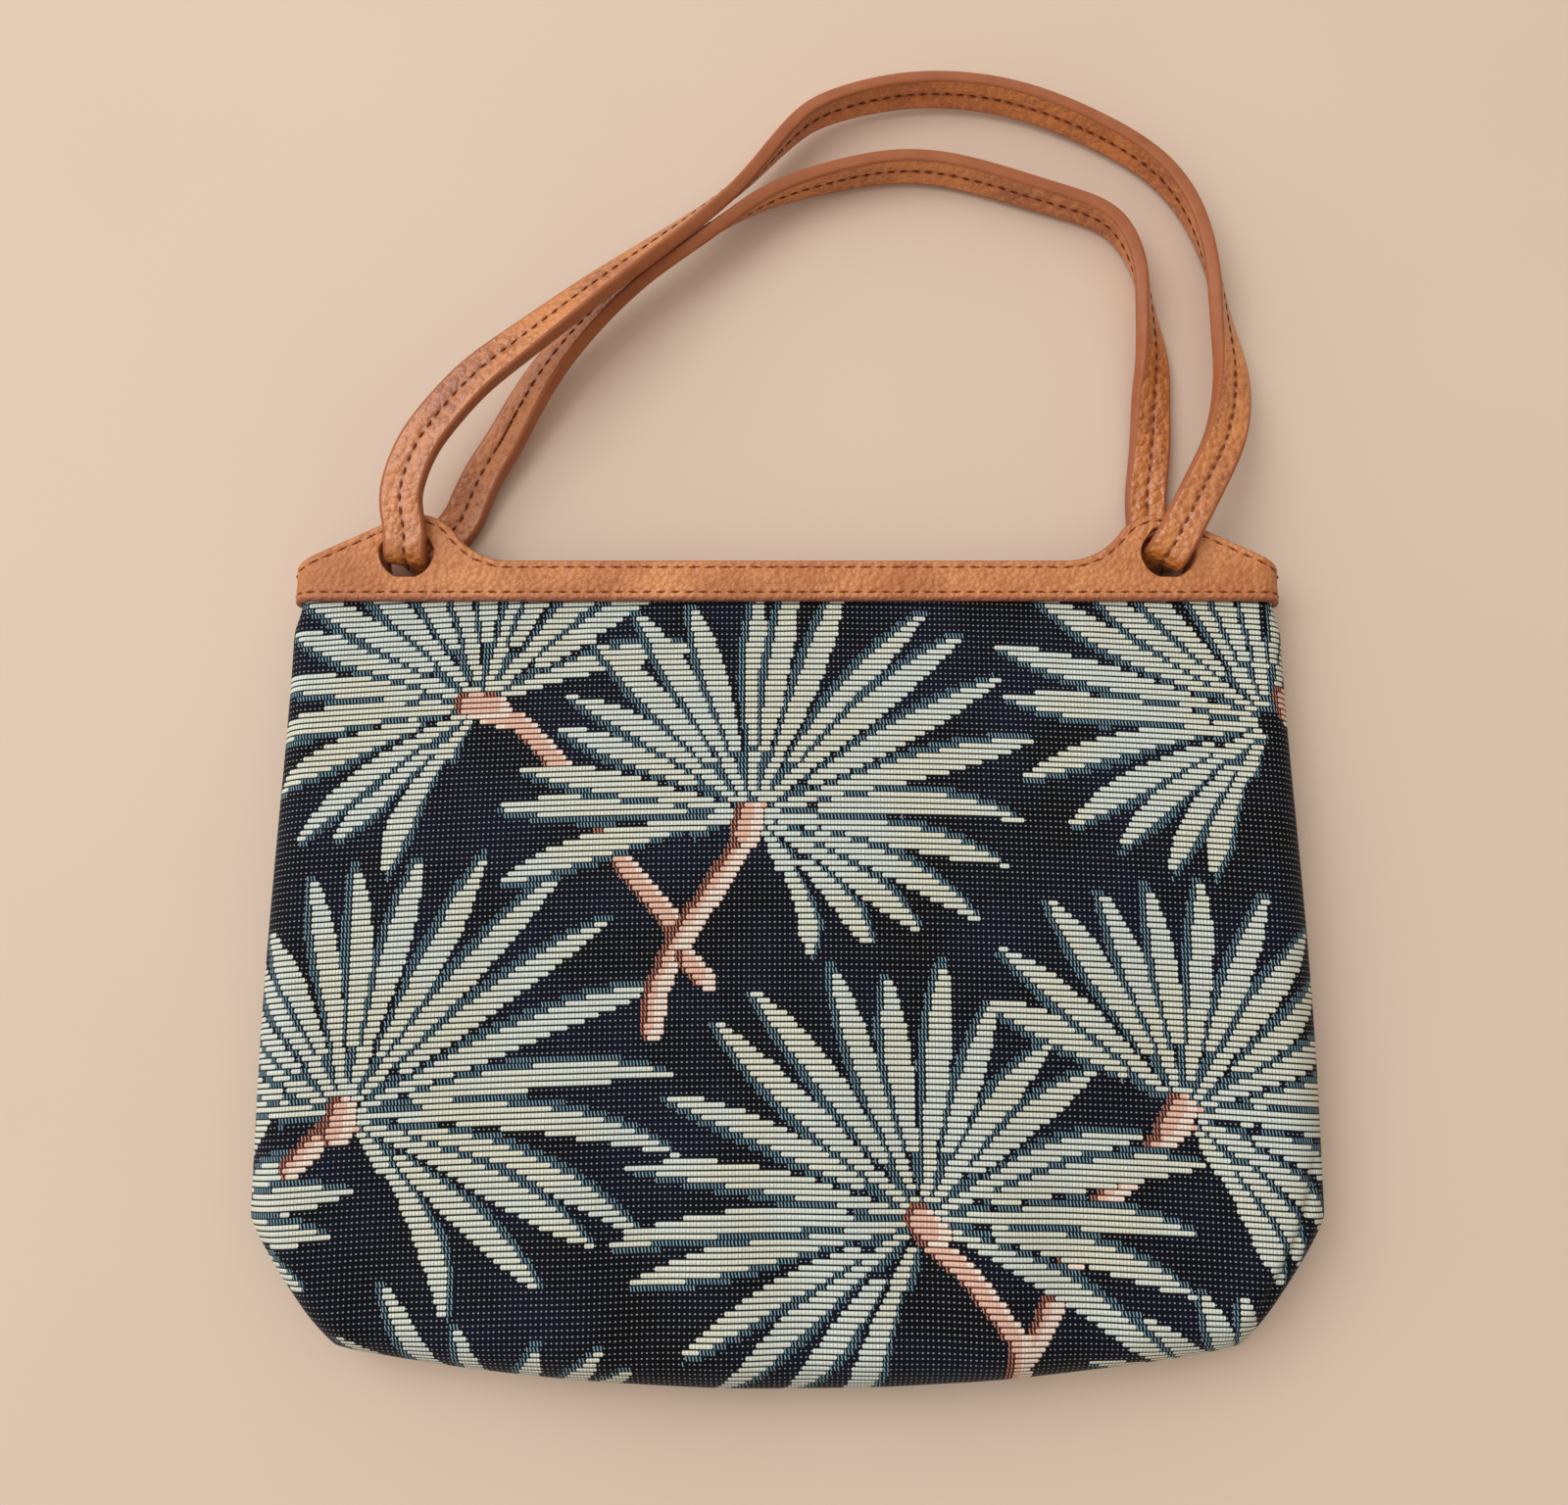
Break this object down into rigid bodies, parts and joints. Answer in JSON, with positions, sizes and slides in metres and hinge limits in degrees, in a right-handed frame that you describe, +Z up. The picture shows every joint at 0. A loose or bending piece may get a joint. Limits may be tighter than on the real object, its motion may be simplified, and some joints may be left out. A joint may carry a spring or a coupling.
{
  "type": "small handbag",
  "caption": "Flat fabric handbag lying closed on its back, with a leather-edged open mouth, holed humps and one leather strap threaded through them as a carrying loop",
  "frame": {"origin": "on the flat of the back panel, where the bag lies on the table, in the middle of its width and halfway up the visible fabric", "axes": "+X across the bag to its right, +Y from the bottom seam towards the mouth and the strap, +Z up out of the front panel"},
  "size_m": [0.244, 0.3214, 0.0241],
  "materials": {
    "jacquard": "ribbed jacquard weave",
    "lining": "plain weave",
    "band_leather": "pebbled grain",
    "facing_leather": "smooth grain",
    "strap_leather": "pebbled grain, painted edges"
  },
  "bodies": {
    "root": {"front_panel": "jacquard", "back_panel": "jacquard", "front_lining": "lining", "back_lining": "lining", "front_band": "band_leather", "back_band": "band_leather", "front_facing": "facing_leather", "back_facing": "facing_leather", "strap": "strap_leather"}
  },
  "joints": []
}
